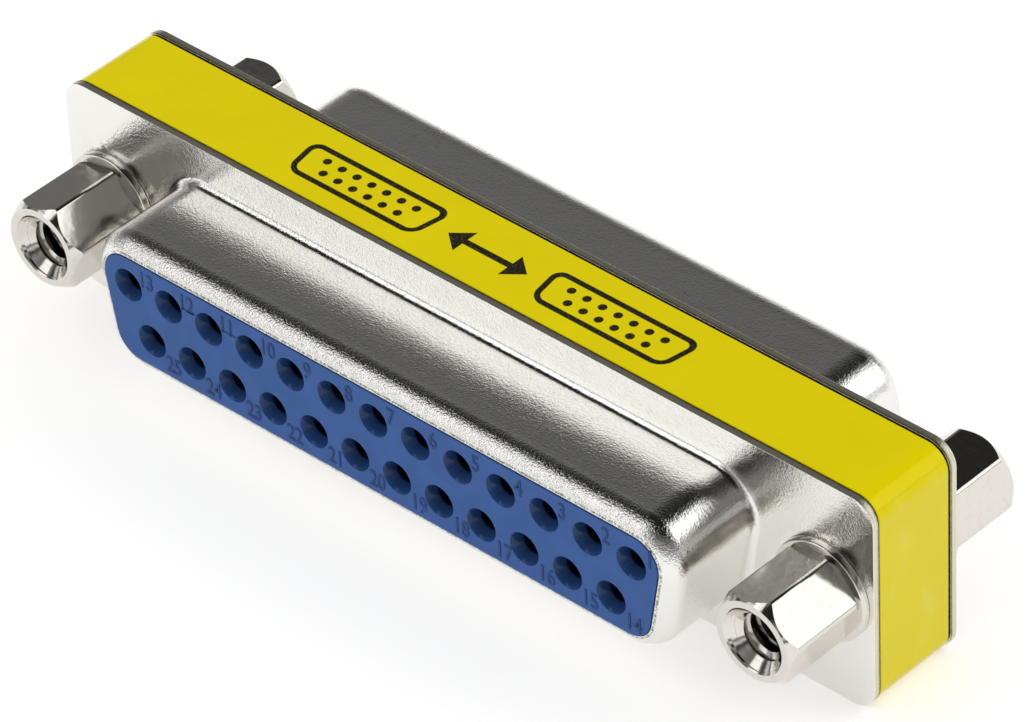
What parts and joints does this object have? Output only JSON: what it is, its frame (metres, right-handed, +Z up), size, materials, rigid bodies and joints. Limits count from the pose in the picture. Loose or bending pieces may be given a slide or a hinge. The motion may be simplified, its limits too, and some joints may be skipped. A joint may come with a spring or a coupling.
{
  "type": "d-sub gender changer",
  "caption": "Rigid adapter that joins D-sub plugs: socket connectors back to back on a labelled spacer, with threaded hexagonal posts for the plugs' screws.",
  "frame": {"origin": "middle of the part's footprint, on the surface that it stands on", "axes": "+X along the connector's length, +Y from the front connector to the rear one, +Z up, towards the front connector's wide side"},
  "size_m": [0.053, 0.0176, 0.0126],
  "materials": {
    "shell_nickel": "nickel plated, fine satin grain",
    "blue_insulator": "fine matt moulding texture",
    "black_spacer": "plain moulded",
    "yellow_label": "satin printed film",
    "post_nickel": "bright nickel on turned metal",
    "washer_nickel": "bright nickel",
    "contact_gold": "gold flash"
  },
  "bodies": {
    "root": {"front_shell": "shell_nickel", "rear_shell": "shell_nickel", "front_insulator": "blue_insulator", "rear_insulator": "blue_insulator", "spacer": "black_spacer", "wrap_label": "yellow_label", "front_post_left": "post_nickel", "front_post_right": "post_nickel", "rear_post_left": "post_nickel", "rear_post_right": "post_nickel", "front_washer_left": "washer_nickel", "front_washer_right": "washer_nickel", "rear_washer_left": "washer_nickel", "rear_washer_right": "washer_nickel", "contact_01": "contact_gold", "contact_02": "contact_gold", "contact_03": "contact_gold", "contact_04": "contact_gold", "contact_05": "contact_gold", "contact_06": "contact_gold", "contact_07": "contact_gold", "contact_08": "contact_gold", "contact_09": "contact_gold", "contact_10": "contact_gold", "contact_11": "contact_gold", "contact_12": "contact_gold", "contact_13": "contact_gold", "contact_14": "contact_gold", "contact_15": "contact_gold", "contact_16": "contact_gold", "contact_17": "contact_gold", "contact_18": "contact_gold", "contact_19": "contact_gold", "contact_20": "contact_gold", "contact_21": "contact_gold", "contact_22": "contact_gold", "contact_23": "contact_gold", "contact_24": "contact_gold", "contact_25": "contact_gold"}
  },
  "joints": []
}
